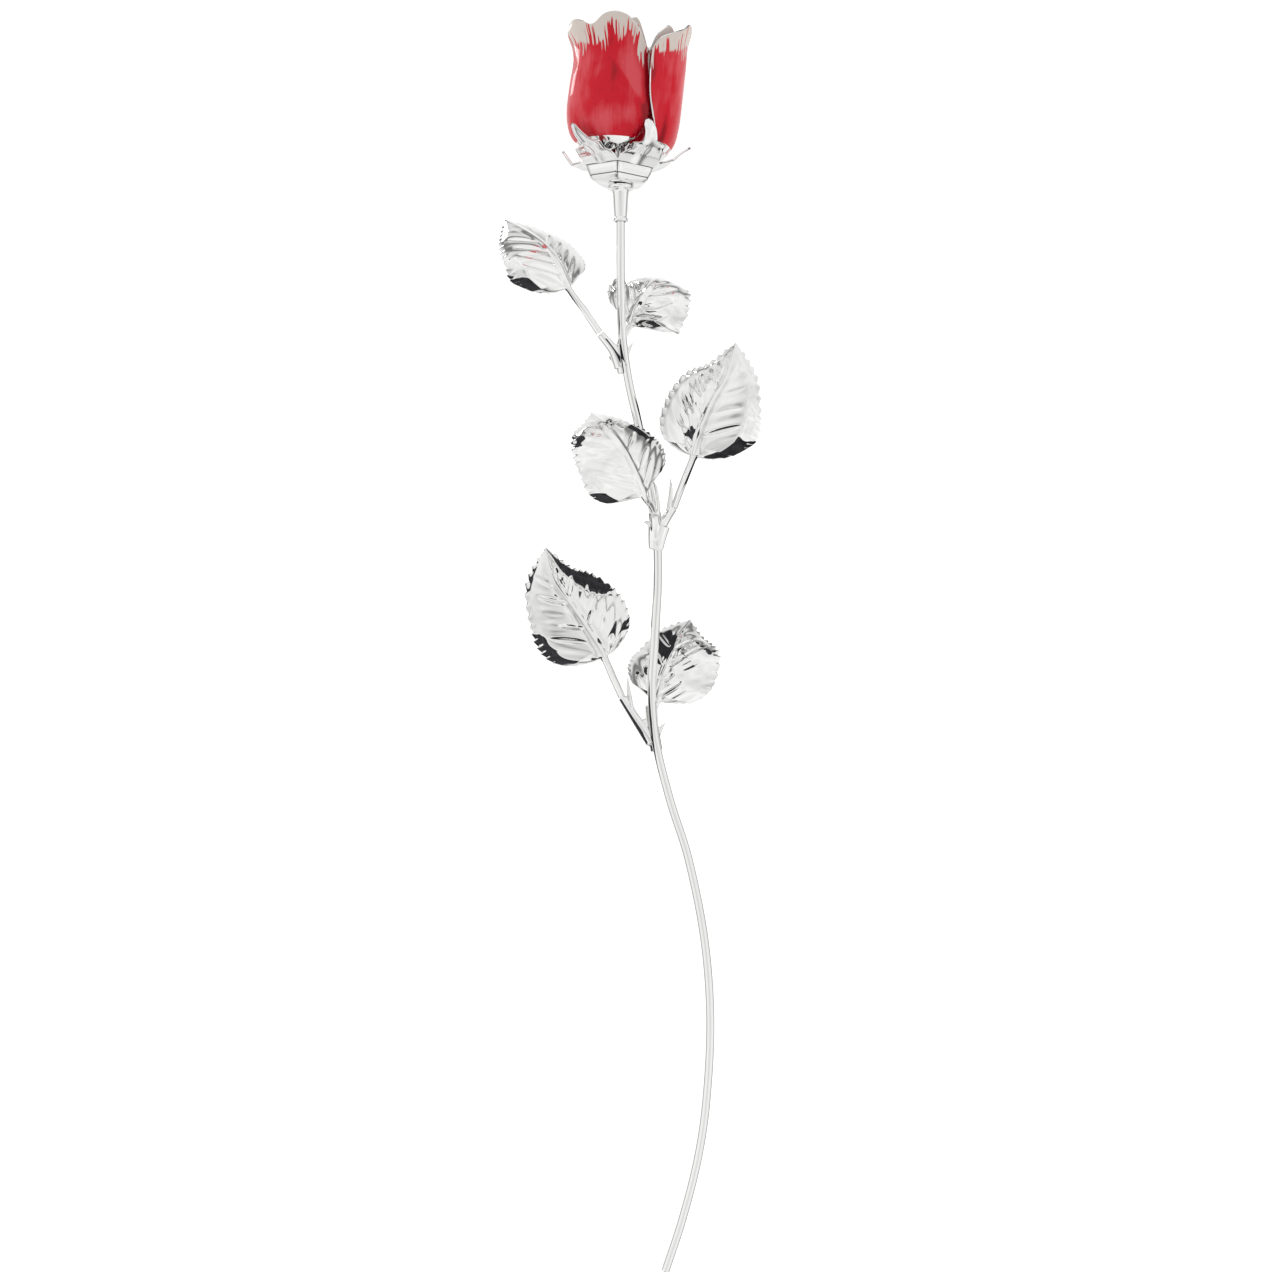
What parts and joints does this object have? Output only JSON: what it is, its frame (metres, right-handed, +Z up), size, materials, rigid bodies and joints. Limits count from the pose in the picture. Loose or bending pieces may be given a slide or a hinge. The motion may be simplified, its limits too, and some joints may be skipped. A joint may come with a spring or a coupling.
{
  "type": "ornamental metal rose",
  "caption": "Long-stemmed ornamental rose of bright silver-plated metal with red enamelled petals, toothed leaves and a folded calyx, lying on its side.",
  "frame": {"origin": "middle of the bounding box at table level, where the lowest points of the rose touch", "axes": "+Y along the rose from the cut end of the stem to the bloom, +X to the right of someone looking down on it, +Z up from the table"},
  "size_m": [0.093, 0.4418, 0.0482],
  "materials": {
    "silver_plate": "bright polished silver plate on cast and pressed metal",
    "red_enamel": "glossy translucent red enamel on pressed sheet, pearl white at the tips"
  },
  "bodies": {
    "root": {"stem": "silver_plate", "ferrule": "silver_plate", "calyx": "silver_plate", "receptacle": "silver_plate", "leaf_c_left": "silver_plate", "leaf_c_right": "silver_plate", "leaf_b_left": "silver_plate", "leaf_b_right": "silver_plate", "leaf_a_left": "silver_plate", "leaf_a_right": "silver_plate", "collar_c": "silver_plate", "collar_b": "silver_plate", "collar_a": "silver_plate", "petal_outer_left": "red_enamel", "petal_outer_right": "red_enamel", "petal_outer_back": "red_enamel", "petal_inner_front": "red_enamel", "petal_inner_right": "red_enamel", "petal_inner_left": "red_enamel", "bud_core": "red_enamel"}
  },
  "joints": []
}
